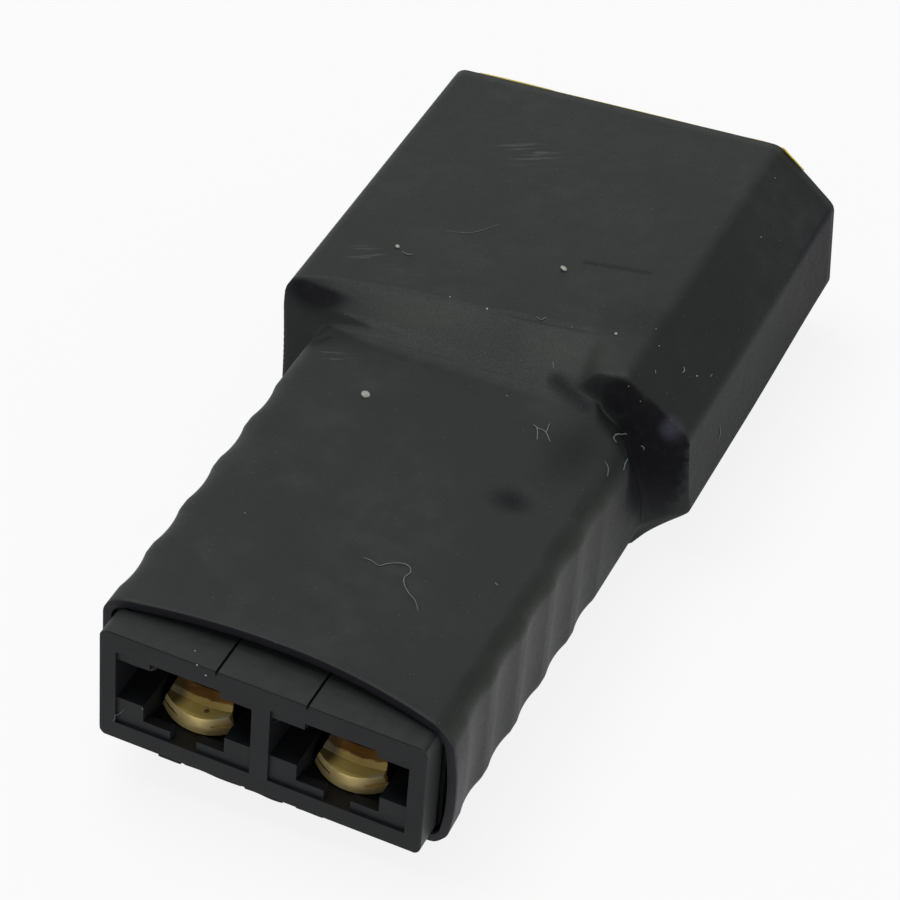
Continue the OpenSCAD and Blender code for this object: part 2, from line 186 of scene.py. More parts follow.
def open_tree(name: str, *numbers: str) -> tuple[Graph, bpy.types.NodeOutputs]:
    """Starts a Geometry Nodes tree.

    Args:
        name: the tree's name.
        numbers: names of its number inputs, of which Seed and Sides are whole.
    Returns:
        The graph, and the sockets of its inputs.
    """
    tree = bpy.data.node_groups.new(name, "GeometryNodeTree")
    kinds = [("Geometry", "Geometry"),
             *((number, "Int" if number in ("Seed", "Sides") else "Float") for number in numbers),
             ("Material", "Material")]
    for label, kind in kinds:
        tree.interface.new_socket(label, in_out="INPUT", socket_type=f"NodeSocket{kind}")
    tree.interface.new_socket("Geometry", in_out="OUTPUT", socket_type="NodeSocketGeometry")
    graph = Graph(tree)
    return graph, graph.add("NodeGroupInput").outputs


def close_tree(graph: Graph, shape: Any, material: Any) -> bpy.types.NodeTree:
    """Ends a tree: a real mesh, its material, the output."""
    solid = graph.add("GeometryNodeRealizeInstances", {0: shape})
    dressed = graph.add("GeometryNodeSetMaterial", {"Geometry": solid, "Material": material})
    graph.add("NodeGroupOutput", {0: dressed})
    return graph.tree


def run_tree(thing: Thing, tree: bpy.types.NodeTree, values: dict[str, Any]) -> None:
    """Runs a Geometry Nodes tree on an object and keeps the result as a plain mesh.

    Args:
        thing: the object that the tree works on.
        tree: the node tree.
        values: input values by name.
    """
    modifier = thing.modifiers.new(tree.name, "NODES")
    modifier.node_group = tree
    sockets = {item.name: item.identifier for item in tree.interface.items_tree
               if item.item_type == "SOCKET" and item.in_out == "INPUT"}
    for name, value in values.items():
        modifier[sockets[name]] = value
    bpy.context.view_layer.update()
    graph = bpy.context.evaluated_depsgraph_get()
    mesh = bpy.data.meshes.new_from_object(thing.evaluated_get(graph), depsgraph=graph)
    thing.modifiers.remove(modifier)
    old = thing.data
    if thing.type == "MESH":
        thing.data = mesh
        bpy.data.meshes.remove(old)
        mesh.name = thing.name


class ShaderGraph(Graph):
    """A material's node tree with the patterns that the finishes share."""

    def __init__(self, name: str) -> None:
        """Starts a material with one Principled shader."""
        self.material = bpy.data.materials.new(name)
        self.material.use_nodes = True
        super().__init__(self.material.node_tree)
        self.nodes.clear()
        self.shader = self.add("ShaderNodeBsdfPrincipled")
        self.add("ShaderNodeOutputMaterial", {"Surface": self.shader.outputs[0]})
        self.place = self.add("ShaderNodeTexCoord").outputs["Object"]

    def set(self, **values: Any) -> None:
        """Sets Principled inputs, with _ for a space in each name."""
        for name, value in values.items():
            self.put(self.shader.inputs[name.replace("_", " ")], value)

    def noise(self, per_mm: float, detail: float = 4.0, rough: float = 0.55, stretch: Point = (1.0, 1.0, 1.0),
              at: Point = (0.0, 0.0, 0.0), degrees: float = 0.0) -> Socket:
        """Noise at so many features a millimetre, stretched along axes turned about Z."""
        scale = tuple(per_mm / MM * share for share in stretch)
        place = self.place
        if degrees:
            place = self.add("ShaderNodeVectorRotate", {"Vector": place, "Angle": -math.radians(degrees)},
                             rotation_type="Z_AXIS").outputs[0]
        mapped = self.add("ShaderNodeMapping", {"Vector": place, "Scale": scale, "Location": at})
        node = self.add("ShaderNodeTexNoise", {"Vector": mapped, "Scale": 1.0, "Detail": detail,
                                               "Roughness": rough})
        return node.outputs["Fac"]

    def from_face(self) -> bpy.types.NodeOutputs:
        """The place in millimetres from the socket's face, split into X, Y and Z."""
        moved = self.vector("SUBTRACT", self.place, (0.0, FACE_Y * MM, MID_Z * MM))
        scaled = self.vector("DIVIDE", moved.outputs[0], (MM, MM, MM))
        return self.add("ShaderNodeSeparateXYZ", {0: scaled.outputs[0]}).outputs

    def facing(self) -> bpy.types.NodeOutputs:
        """The way the surface faces: X, Y and Z sockets of its normal, in the object's frame."""
        towards = self.add("ShaderNodeTexCoord").outputs["Normal"]
        return self.add("ShaderNodeSeparateXYZ", {0: towards}).outputs

    def band(self, value: Any, low: float, high: float, to_low: float = 0.0,
             to_high: float = 1.0) -> Socket:
        """Maps a value from one range to another with a smooth step."""
        node = self.add("ShaderNodeMapRange", {0: value, 1: low, 2: high, 3: to_low, 4: to_high},
                        interpolation_type="SMOOTHSTEP")
        return node.outputs[0]

    def blend(self, share: Any, first: Any, second: Any) -> Socket:
        """Mixes two colours by share."""
        node = self.add("ShaderNodeMix", data_type="RGBA")
        self.put(node.inputs[0], share)
        for index, colour in ((6, first), (7, second)):
            value = (*colour, 1.0) if isinstance(colour, tuple) and len(colour) == 3 else colour
            self.put(node.inputs[index], value)
        return node.outputs[2]

    def bump(self, height: Any, depth_mm: float, normal: Any = None) -> Socket:
        """Bump from a height that runs from 0 to 1 over a depth in millimetres."""
        inputs = {"Height": height, "Distance": depth_mm * MM, "Strength": 1.0}
        if normal is not None:
            inputs["Normal"] = normal
        return self.add("ShaderNodeBump", inputs).outputs[0]

    def near(self, centre: Point, size: Point) -> Socket:
        """1 at a place on the part, falling to 0 at an ellipsoid round it."""
        middle = tuple(to_part(np.array([centre]))[0])
        away = self.vector("SUBTRACT", self.place, middle)
        scaled = self.vector("DIVIDE", away.outputs[0], tuple(s * MM for s in size))
        length = self.vector("LENGTH", scaled.outputs[0]).outputs["Value"]
        return self.band(length, 0.0, 1.0, 1.0, 0.0)

    def streak(self, start: Point, end: Point, width: float) -> Socket:
        """1 along a line on the part, falling to 0 at so many millimetres from it."""
        first, last = (Vector(to_part(np.array([place]))[0]) for place in (start, end))
        whole = last - first
        away = self.vector("SUBTRACT", self.place, tuple(first)).outputs[0]
        along = self.vector("DOT_PRODUCT", away, tuple(whole / whole.length_squared)).outputs["Value"]
        foot = self.vector("SCALE", tuple(whole))
        self.put(foot.inputs["Scale"], self.math("MULTIPLY", along, 1.0, clamp=True))
        gap = self.vector("DISTANCE", away, foot.outputs[0]).outputs["Value"]
        return self.band(gap, 0.0, width * MM, 1.0, 0.0)


@dataclass(frozen=True)
class SleeveFinish:
    """Matte black shrink tubing with a greenish film of dust and light scuffs; painted shade darkens the
    folds, creases, dent, hollows and far side, and a painted lighter tone brightens the fin side and the
    slope.
    """
    dark: Colour = (0.0095, 0.0115, 0.0105)
    dusty: Colour = (0.0185, 0.0225, 0.020)
    # Painted shade: the next two colours darken the folds, hollows and far side.
    shade_black: Colour = (0.0014, 0.0012, 0.0022)
    shade_tint: Colour = (0.0068, 0.0060, 0.0105)
    smear: Colour = (0.055, 0.056, 0.075)
    # Painted light: a lighter tone for the fin side and the slope.
    rubbed_and_lit: Colour = (0.034, 0.0375, 0.0335)
    cut: Colour = (0.0115, 0.0112, 0.0155)
    scuffed: Colour = (0.085, 0.088, 0.082)
    gloss: float = 0.2

    def material(self) -> Material:
        """Builds the sleeve's material."""
        g = ShaderGraph("shrink_sleeve")
        cloud = g.noise(0.16, 3.0, 0.5)
        patches = g.noise(0.7, 5.0, 0.6, at=(3.1, 7.7, 1.3))
        dust = g.times(g.band(cloud, 0.35, 0.68), g.band(patches, 0.3, 0.75))
        scuffs = self.scuffs(g)
        painted_shade = self.painted_shade(g)
        at, to = g.from_face(), g.facing()
        open_tone = g.blend(dust, self.dark, self.dusty)
        # Painted light: the right side along the fins is lighter in front of the neck.
        fins = g.times(g.band(at["X"], 8.5, 9.3), g.band(at["Y"], 19.0, 22.0, 0.5, 0.0))
        open_tone = g.blend(fins, open_tone, self.rubbed_and_lit)
        # Painted shade: the +X side darkens and loses gloss towards the far end.
        far_side_shade = g.times(g.band(to["X"], 0.7, 0.9), g.band(at["Y"], 32.0, 47.0, 0.0, 0.75))
        open_tone = g.blend(far_side_shade, open_tone, self.shade_tint)
        # Painted highlight: a lighter band on the slope behind the neck.
        edge = g.math("MULTIPLY_ADD", at["X"], -0.083, at["Y"])
        slope = g.most(g.near((4.0, 26.7, 5.2), (4.6, 2.6, 1.8)), g.near((-3.5, 26.7, 5.2), (6.5, 2.2, 1.8)))
        slope = g.times(slope, g.band(edge, 27.88, 28.0, 0.5, 0.0))
        open_tone = g.blend(slope, open_tone, self.rubbed_and_lit)
        mottled = g.band(g.noise(1.3, 4.0, 0.6, at=(6.0, 1.0, 3.0)), 0.45, 0.75)
        mottled = g.most(mottled, g.near((9.8, 25.2, -2.6), (3.4, 2.4, 4.4)))
        # Painted shade: the folds and hollows go near-black, mottled with a purplish tint.
        tone = g.blend(painted_shade, open_tone, g.blend(mottled, self.shade_black, self.shade_tint))
        cut = g.times(g.band(to["Y"], -0.85, -0.6, 1.0, 0.0), g.band(at["Y"], 3.0, 3.4, 1.0, 0.0))
        tone = g.blend(cut, tone, self.cut)
        smear = g.times(g.near((10.45, 25.55, 3.0), (0.9, 1.1, 1.1)), g.band(patches, 0.35, 0.6, 0.5, 1.0))
        tone = g.blend(smear, tone, self.smear)
        g.set(Base_Color=g.blend(scuffs, tone, self.scuffed))
        fine = g.noise(9.0, 6.0, 0.62)
        worn = g.most(g.times(scuffs, 0.15), g.times(painted_shade, 0.35))
        g.set(Roughness=g.math("ADD", g.band(fine, 0.3, 0.7, 0.46, 0.58), worn),
              Specular_IOR_Level=g.math("MULTIPLY_ADD", far_side_shade, -0.7 * self.gloss, self.gloss))
        wave = g.bump(g.noise(0.45, 3.0, 0.5, at=(1.0, 4.0, 9.0)), 0.05)
        g.set(Normal=g.bump(fine, 0.006, wave))
        return g.material

    def painted_shade(self, g: ShaderGraph) -> Socket:
        """1 where shade is painted: in the folds and hollows beside the neck, on the neck's falling right
        side, along two streaks and in a dent.
        """
        at = g.from_face()
        ledge = g.band(g.near((7.9, 25.4, 4.4), (1.9, 1.0, 1.8)), 0.0, 0.6)
        right = g.most(g.band(g.near((9.8, 25.2, 1.2), (3.4, 2.2, 5.6)), 0.0, 0.4), ledge)
        ragged = g.band(g.noise(2.4, 4.0, 0.65, at=(2.0, 5.0, 1.0)), 0.3, 0.7, -0.07, 0.07)
        right = g.times(right, g.band(g.math("ADD", at["Y"], ragged), 25.62, 25.84, 1.0, 0.0))
        right = g.times(right, g.band(at["Z"], -4.5, 0.5, 0.35, 1.0))
        left = g.band(g.near((-9.6, 26.2, 5.4), (2.7, 1.3, 2.0)), 0.0, 0.7)
        left = g.times(g.times(left, g.band(at["Y"], 26.5, 26.8, 1.0, 0.0)),
                      g.band(at["Z"], 5.5, 5.66, 1.0, 0.0))
        fold = g.band(g.near((-8.2, 24.1, 4.4), (0.8, 0.7, 0.8)), 0.0, 0.9, 0.0, 0.8)
        above = g.times(g.near((7.3, 30.3, 5.7), (3.6, 2.6, 1.5)), 0.3)
        streak = g.times(g.streak((4.2, 25.45, 4.3), (6.2, 24.6, 3.9), 0.75), 0.6)
        slack = g.times(g.near((6.9, 21.6, 3.7), (2.3, 4.6, 1.6)), 0.55)
        bent = g.times(g.streak((2.4, 33.55, 5.7), (5.8, 34.0, 5.7), 0.3), 0.45)
        slack = g.most(g.most(slack, bent), g.most(above, streak))
        pressed = g.times(g.near((5.5, 16.9, 3.6), (1.7, 1.4, 1.5)), 0.85)
        both = g.most(g.most(right, left), fold)
        return g.most(both, g.most(slack, pressed))

    def scuffs(self, g: ShaderGraph) -> Socket:
        """Pale streaks where the photo shows rubbed places."""
        places = [((-4.4, 41.4, 5.7), (2.7, 1.7, 1.5), 1.0), ((-6.0, 28.9, 5.7), (1.6, 1.0, 1.5), 1.0),
                  ((-8.4, 29.6, 5.7), (1.6, 1.1, 1.5), 0.9), ((-6.9, 22.4, 4.5), (1.8, 1.2, 1.5), 0.5)]
        lines = g.noise(2.6, 4.0, 0.65, stretch=(0.12, 1.6, 1.0), at=(0.3, 2.2, 5.0), degrees=26.0)
        lines = g.band(lines, 0.52, 0.66)
        total = None
        for centre, size, strength in places:
            part = g.times(g.near(centre, size), strength)
            total = part if total is None else g.most(total, part)
        return g.times(total, lines)


@dataclass(frozen=True)
class NylonFinish:
    """Moulded nylon with a fine grain, dust where a face looks up or to the right, and a painted lighter tone
    on the right side face.
    """
    name: str
    colour: Colour
    pale: Colour
    settled: Optional[Colour] = None
    painted_side_light: Colour = (0.055, 0.058, 0.056)
    rough: float = 0.42
    gloss: float = 0.4
    grain_mm: float = 0.008

    def material(self) -> Material:
        """Builds the nylon material."""
        g = ShaderGraph(self.name)
        flow = g.noise(0.5, 4.0, 0.55, stretch=(1.0, 0.4, 1.0))
        tone = g.blend(g.band(flow, 0.3, 0.75), self.colour, self.pale)
        if self.settled:
            to, at = g.facing(), g.from_face()
            outer = g.most(g.band(to["Z"], 0.6, 0.9), g.band(to["X"], 0.6, 0.9))
            shell = g.most(g.band(at["Z"], 2.6, 2.9), g.band(at["X"], 7.9, 8.1))
            cloud = g.band(g.noise(1.1, 4.0, 0.6, at=(5.0, 2.0, 8.0)), 0.3, 0.7, 0.6, 1.0)
            tone = g.blend(g.times(g.times(outer, shell), cloud), tone, self.settled)
            # Painted light: the right side face turns paler.
            right = g.times(g.band(to["X"], 0.6, 0.9), g.band(at["X"], 7.9, 8.1, 0.0, 0.7))
            tone = g.blend(right, tone, self.painted_side_light)
        g.set(Base_Color=tone)
        grain = g.noise(14.0, 5.0, 0.6)
        g.set(Roughness=g.band(grain, 0.25, 0.75, self.rough - 0.06, self.rough + 0.1),
              Specular_IOR_Level=self.gloss,
              Normal=g.bump(grain, self.grain_mm))
        return g.material


@dataclass(frozen=True)
class GoldFinish:
    """Gold plating with fine drawn lines and darker patches of tarnish."""
    name: str
    colour: Colour = (0.72, 0.55, 0.26)
    tarnish: Colour = (0.42, 0.29, 0.10)
    rough: float = 0.28

    def material(self) -> Material:
        """Builds the plated metal."""
        g = ShaderGraph(self.name)
        patches = g.band(g.noise(0.9, 5.0, 0.6), 0.4, 0.7)
        drawn = g.noise(10.0, 3.0, 0.5, stretch=(1.0, 0.06, 1.0))
        g.set(Base_Color=g.blend(patches, self.colour, self.tarnish), Metallic=1.0,
              Roughness=g.math("ADD", g.band(drawn, 0.3, 0.7, self.rough - 0.05, self.rough + 0.08),
                               g.times(patches, 0.08)),
              Normal=g.bump(drawn, 0.004))
        return g.material


@dataclass(frozen=True)
class ContactFinish:
    """Gold plating: pale and worn on the nose, brightened on the nose's top as painted light, olive on the
    ramp, painted shade in brown on the crown and near-black to the left, and a painted glint.
    """
    nose: Colour = (0.95, 0.75, 0.33)
    # Painted light: the nose's top is brightened where the roof shades it.
    top: Colour = (0.98, 0.74, 0.22)
    ramp: Colour = (0.35, 0.25, 0.06)
    # Painted shade: dark brown for the crown under the chamber's roof.
    shaded_crown: Colour = (0.11, 0.05, 0.008)
    spot: Colour = (0.20, 0.11, 0.04)
    shade: Colour = (0.018, 0.012, 0.004)
    glint: Colour = (1.0, 0.96, 0.80)
    pit: tuple[Point, Point] = ((-3.7, 1.7, -0.85), (0.2, 0.2, 0.6))
    ramp_start: float = 1.93
    ramp_end: float = 2.2
    rough: float = 0.34
    metallic: tuple[float, float, float] = (0.62, 0.3, 0.85)

    def material(self) -> Material:
        """Builds the contacts' metal."""
        g = ShaderGraph("contact_gold")
        along = g.from_face()["Y"]
        past = g.math("ADD", along, g.band(g.noise(2.2, 2.0, at=(4.0, 1.0, 2.0)), 0.3, 0.7, -0.03, 0.03))
        plate = g.band(g.facing()["Y"], -0.6, -0.45)
        ramp = g.band(along, self.ramp_start - 0.02, self.ramp_start + 0.02)
        plate = g.most(plate, ramp)
        # Painted shade: the crown behind the ramp takes the dark brown.
        shaded_crown = g.band(past, self.ramp_end - 0.04, self.ramp_end + 0.04)
        # Painted light: the nose's top faces before the ramp take the brightened colour.
        whole = g.blend(plate, self.nose, g.blend(ramp, self.top, self.ramp))
        whole = g.blend(shaded_crown, whole, self.shaded_crown)
        # Painted shade: the contacts' left ends go near-black.
        ends = [g.near((x, 2.3, z), (2.0, 3.0, 2.6)) for x, z in ((-6.3, -0.8), (1.8, -1.6))]
        shade = g.times(g.band(g.most(*ends), 0.0, 0.45), g.times(plate, 0.9))
        whole = g.blend(shade, whole, self.shade)
        tips = [g.near((x, 1.4, z), (1.1, 0.5, 0.22)) for x, z in ((-2.9, -0.72), (5.2, -1.42))]
        whole = g.blend(g.band(g.most(*tips), 0.0, 0.6), whole, self.glint)
        spots = g.band(g.noise(1.7, 3.0, 0.6, at=(0.7, 2.0, 4.4)), 0.68, 0.75)
        rubbed_and_lit = g.noise(7.0, 4.0, 0.6, stretch=(0.25, 1.0, 1.0))
        pit = g.band(g.near(*self.pit), 0.0, 0.5)
        worn = g.most(g.times(spots, 0.7), g.band(rubbed_and_lit, 0.6, 0.85, 0.0, 0.35))
        worn = g.most(worn, g.times(pit, 0.9))
        nose, top, far = self.metallic
        g.set(Base_Color=g.blend(worn, whole, self.spot),
              Metallic=g.math("MULTIPLY_ADD", shaded_crown, far - top,
                              g.math("MULTIPLY_ADD", plate, top - nose, nose)),
              Roughness=g.band(rubbed_and_lit, 0.3, 0.8, self.rough - 0.06, self.rough + 0.14),
              Normal=g.bump(rubbed_and_lit, 0.006))
        return g.material


@dataclass(frozen=True)
class PlainFinish:
    """A simple finish with slight mottling, for solder, dust and lint."""
    name: str
    colour: Colour
    second: Colour
    rough: float = 0.7
    metallic: float = 0.0
    per_mm: float = 3.0

    def material(self) -> Material:
        """Builds the material."""
        g = ShaderGraph(self.name)
        mottle = g.noise(self.per_mm, 4.0, 0.6)
        g.set(Base_Color=g.blend(g.band(mottle, 0.3, 0.7), self.colour, self.second),
              Roughness=self.rough, Metallic=self.metallic,
              Normal=g.bump(mottle, 0.01))
        return g.material


class Finishes:
    """Every finish of the adapter, made once."""

    def __init__(self) -> None:
        """Builds the materials."""
        self.sleeve = SleeveFinish().material()
        self.housing = NylonFinish("socket_nylon", (0.0085, 0.0092, 0.0104), (0.012, 0.0128, 0.0142),
                                   settled=(0.021, 0.0255, 0.0225), gloss=0.16).material()
        self.plug = NylonFinish("plug_nylon", (0.55, 0.42, 0.015), (0.62, 0.5, 0.03)).material()
        self.contact = ContactFinish().material()
        self.pin = GoldFinish("pin_gold", rough=0.18).material()
        self.solder = PlainFinish("solder_tin", (0.6, 0.61, 0.62), (0.42, 0.42, 0.43), 0.3, 1.0).material()
        self.lint = PlainFinish("lint", (0.17, 0.19, 0.175), (0.11, 0.125, 0.115), 0.8).material()
        self.grit = PlainFinish("grit", (0.5, 0.5, 0.46), (0.3, 0.3, 0.27), 0.85).material()
        self.dust = PlainFinish("dust", (0.075, 0.08, 0.075), (0.045, 0.05, 0.047), 0.9).material()


@dataclass(frozen=True)
class Dent:
    """A soft push on the sleeve round one place."""
    centre: Point
    reach: Point
    push: Point

    def shift(self, points: np.ndarray) -> np.ndarray:
        """How far each point moves."""
        away = (points - np.array(self.centre)) / np.array(self.reach)
        return np.exp(-np.sum(away * away, axis=1))[:, None] * np.array(self.push)


@dataclass(frozen=True)
class Crease:
    """A narrow fold along a line on the sleeve."""
    start: Point
    end: Point
    width: float
    push: Point

    def shift(self, points: np.ndarray) -> np.ndarray:
        """How far each point moves."""
        start, end = np.array(self.start), np.array(self.end)
        along = np.clip((points - start) @ (end - start) / np.sum((end - start) ** 2), 0, 1)
        away = np.linalg.norm(points - (start + along[:, None] * (end - start)), axis=1)
        fade = np.sin(np.pi * np.clip(along * 0.9 + 0.05, 0, 1))
        return (np.exp(-(away / self.width) ** 2) * fade)[:, None] * np.array(self.push)


@dataclass(frozen=True)
class Section:
    """A rounded section of the sleeve; the chamfer cuts both of its +X corners."""
    half_width: float
    half_height: float
    radius: float
    chamfer: float = 0.0
    chamfer_lean: float = 0.0

    def ring(self, inset: float) -> np.ndarray:
        """The section's outline, from the +X side round over the top.

        Args:
            inset: how far inside the outer face the outline lies.
        Returns:
            Rows of x and height, the same number for every section.
        """
        a, b = self.half_width - inset, self.half_height - inset
        r = max(0.25, self.radius - inset)
        i, j = a - r, b - r
        k = max(0.0, self.chamfer - 0.59 * inset - r * (2 - math.sqrt(2)))

        def arc(cx: float, cz: float, first: float, last: float, count: int) -> np.ndarray:
            angles = np.radians(np.linspace(first, last, count))
            return np.column_stack([cx + r * np.cos(angles), cz + r * np.sin(angles)])

        def line(start: np.ndarray, stop: np.ndarray, count: int) -> np.ndarray:
            return mix(start, stop, (np.arange(1, count) / count)[:, None])

        def corner(sign: int) -> np.ndarray:
            if not k:
                whole = arc(i, j, 0, 90, 22)
            else:
                low, high = arc(i, j - k, 0, 45, 7), arc(i - k, j, 45, 90, 7)
                whole = np.vstack([low, line(low[-1], high[0], 9), high])
                whole[:, 0] -= self.chamfer_lean * np.clip((whole[:, 1] - b + k) / k, 0, 1)
            return whole if sign > 0 else (whole * (1, -1))[::-1]

        right_top, right_low = corner(1), corner(-1)
        left_top, left_low = arc(-i, j, 90, 180, 13), arc(-i, -j, 180, 270, 13)
        return np.vstack([right_top, line(right_top[-1], left_top[0], 64), left_top,
                          line(left_top[-1], left_low[0], 24), left_low,
                          line(left_low[-1], right_low[0], 26), right_low,
                          line(right_low[-1], right_top[0], 24)])


@dataclass
class ShrinkSleeve:
    """The shrink sleeve: rings round the part from the socket's mouth to the plug's rim."""
    finishes: Finishes
    socket_turn: float = 5.0
    wall: float = 0.5
    narrow: Section = Section(9.17, 4.05, 1.15)
    wide: Section = Section(11.38, 5.7, 0.85, 3.1, 0.35)
    start: float = 2.2
    end: float = 47.5
    edge_bow: tuple[float, float] = (0.6, 1.05)
    mouth_gap: float = 0.42
    turn_over: tuple[float, float] = (22.0, 26.0)
    left_flare: tuple[float, float] = (24.95, 25.5)
    lean: tuple[float, float] = (0.11, -0.035)
    taper: float = 0.1
    right_flare: tuple[float, float] = (25.2, 25.75)
    under_drop: tuple[float, float] = (25.1, 25.9)
    ledge: float = 0.85
    hollow: tuple[float, float] = (0.4, 0.26)
    first_fin: float = 2.4
    fin_pitch: float = 3.48
    fin_width: float = 0.7
    fin_count: int = 6
    sag: tuple[float, float] = (0.16, 0.15)
    fin_shift: tuple[float, float] = (-0.2, -0.15)
    slope_from: tuple[tuple[float, float], ...] = (
        (-9.2, 25.5), (-8.3, 25.2), (-7.2, 24.8), (-6.0, 24.4), (-4.0, 24.2), (3.5, 24.2), (5.8, 24.3),
        (7.2, 24.8), (8.2, 25.1), (9.2, 25.1))
    slope_full: tuple[tuple[float, float], ...] = (
        (-9.2, 26.1), (-8.5, 26.5), (-7.5, 27.0), (-6.0, 27.4), (-3.0, 27.9), (1.2, 28.1),
        (3.8, 28.35), (6.0, 28.4), (6.9, 27.9), (7.6, 26.9), (8.4, 26.0), (9.2, 25.8))
    fall_line: tuple[tuple[float, float], ...] = ((20.8, 8.2), (22.9, 7.4), (24.8, 6.05), (26.2, 4.4))
    dents: list[Dent | Crease] = field(default_factory=lambda: [
        Crease((-9.2, 21.2, 4.4), (-8.95, 25.0, 3.8), 0.22, (-0.08, 0.0, 0.12)),
        Dent((-8.3, 24.0, 4.5), (0.5, 0.7, 0.6), (0.0, 0.0, -0.28)),
        Crease((-0.4, 27.95, 5.7), (6.4, 28.45, 5.7), 0.14, (0.0, 0.0, -0.11)),
        Crease((3.7, 25.6, 4.4), (6.6, 24.4, 3.9), 0.4, (0.0, 0.0, -0.1)),
        Dent((5.5, 16.9, 3.7), (1.3, 0.9, 2.0), (0.0, 0.0, -0.2)),
        Dent((0.0, 12.0, 4.0), (4.5, 5.0, 2.0), (0.0, 0.0, -0.14)),
    ])

    def stations(self) -> np.ndarray:
        """Distances from the face at which the outer rings stand."""
        return np.concatenate([np.arange(self.start, 23.4, 0.17), np.arange(23.4, 25.0, 0.1),
                               np.arange(25.0, 26.0, 0.05), np.arange(26.0, 29.0, 0.1),
                               np.linspace(29.0, self.end, 30)])

    def outline(self, s: float, inset: float) -> np.ndarray:
        """One ring round the part, before its turn.

        Args:
            s: distance from the socket's face.
            inset: how far inside the outer face it lies.
        Returns:
            Rows of x, s, z, from the +X side round over the top.
        """
        small, large = self.narrow.ring(inset), self.wide.ring(inset)
        x, z = small.T
        low = smooth(-large[:, 1] / 4.0)
        flares = self.left_flare, (self.right_flare[0] - 0.35 * low, self.right_flare[1] + 0.55 * low)
        left, right = (smooth((s + lean * (1.5 - large[:, 1]) - a) / (b - a))
                       for (a, b), lean in zip(flares, self.lean))
        side = mix(left, right, smooth(x / 6.0 + 0.5))
        over = smooth((z / self.narrow.half_height + 1) / 2)
        first = mix(self.under_drop[0], np.interp(x, *zip(*self.slope_from)), over)
        full = mix(self.under_drop[1], np.interp(x, *zip(*self.slope_full)), over)
        t = np.clip((s - first) / (full - first), 0, 1)
        rise = mix(t ** 1.5, smooth(t), 0.5)
        ledge = self.ledge * smooth((x - 5.9) / 1.2) * right * over
        rise = ledge + (1 - ledge) * rise
        past = np.clip(x - np.interp(s, *zip(*self.fall_line)), 0, None)
        here = smooth((s - 19.5) / 3.0) * (1 - smooth((s - 24.9) / 1.2))
        fall = 0.1 * past ** 2 * here * np.clip(z / self.narrow.half_height, 0, 1)
        deep = smooth((s - 22.4) / 3.2) * smooth((x - 6.2) / 2.4)
        pulled = deep * np.clip(self.hollow[0] + self.hollow[1] * z, 0, None)
        slim = self.taper * smooth((s - 34.0) / 12.0) * smooth((large[:, 0] - 9.5) / 1.5)
        return np.column_stack([mix(x - pulled, large[:, 0] - slim, side), np.full(len(x), s),
                                mix(z - fall, large[:, 1], rise)])

    def shaped(self, points: np.ndarray) -> np.ndarray:
        """Lifts the mouth, bows its edge, turns the socket end and adds dents."""
        x, s, z = points.T.copy()
        u = np.clip(x / (self.narrow.half_width - 0.6), -1, 1)
        v = np.clip(z / (self.narrow.half_height - 0.5), -1, 1)
        near = np.clip(1 - (s - self.start) / 4.0, 0, 1)
        lift = self.mouth_gap * near * near
        x = x + np.where(x > 0, lift * (1 - v * v), 0)
        z = z + np.where(z > 0, lift * (1 - u * u), 0)
        bow = np.where(u < 0, self.edge_bow[0], self.edge_bow[1]) * np.where(v < 0, 1 + 0.3 * v, 1)
        s = s - bow * np.clip(1 - (s - self.start) / 1.6, 0, 1) * u * u
        first, last = self.turn_over
        turn = self.socket_turn * (1 - smooth((s - first) / (last - first)))
        moved = turned(np.column_stack([x, s, z]), turn)
        for dent in self.dents:
            moved = moved + dent.shift(moved)
        return moved

    def skin(self) -> Thing:
        """Makes the plain sleeve with the facts that the ripple needs."""
        stations = self.stations()
        lip = [(-0.04, 0.04), (-0.05, self.wall / 2), (-0.04, self.wall - 0.04)]
        rings = [(s, 0.0) for s in stations]
        rings += [(self.end - d, i) for d, i in lip]
        rings += [(s, self.wall) for s in stations[::-1][::3]]
        rings += [(self.start + d, i) for d, i in lip[::-1]]
        loops = [self.shaped(self.outline(s, inset)) for s, inset in rings]
        count = len(loops[0])
        points = np.vstack(loops)
        faces = []
        for row in range(len(loops)):
            a, b = row * count, ((row + 1) % len(loops)) * count
            for n in range(count):
                m = (n + 1) % count
                faces.append((a + n, b + n, b + m, a + m))
        mesh = bpy.data.meshes.new("heat_shrink_sleeve_skin")
        mesh.from_pydata([tuple(p) for p in to_part(points)], [], faces)
        mesh.update()
        flat = turned(points, -self.socket_turn)
        side = smooth((np.abs(flat[:, 0]) - self.narrow.half_width + 1.9) / 1.3)
        ahead = smooth((22.6 - points[:, 1]) / 1.5)
        inward = np.column_stack([-np.sign(flat[:, 0]) * math.cos(math.radians(self.socket_turn)),
                                  np.zeros(len(points)),
                                  np.sign(flat[:, 0]) * math.sin(math.radians(self.socket_turn))])
        weight = mesh.attributes.new("ripple", "FLOAT", "POINT")
        weight.data.foreach_set("value", (side * ahead).astype(np.float32))
        way = mesh.attributes.new("inward", "FLOAT_VECTOR", "POINT")
        way.data.foreach_set("vector", inward.astype(np.float32).ravel())
        return linked("shrink_sleeve", mesh)

    def ripple_tree(self) -> bpy.types.NodeTree:
        """Geometry Nodes that draw the sleeve in between the fins."""
        g, given = open_tree("fin_ripple", "First fin", "Fin pitch", "Fin width", "Fin count", "Left sag",
                             "Right sag", "Left shift", "Right shift")
        place = g.add("ShaderNodeSeparateXYZ", {0: g.add("GeometryNodeInputPosition")})
        right = g.math("GREATER_THAN", place.outputs["X"], 0.0)

        def by_side(name: str) -> Socket:
            """The left or the right side's value."""
            step = g.math("SUBTRACT", given[f"Right {name}"], given[f"Left {name}"])
            return g.math("MULTIPLY_ADD", step, right, given[f"Left {name}"])

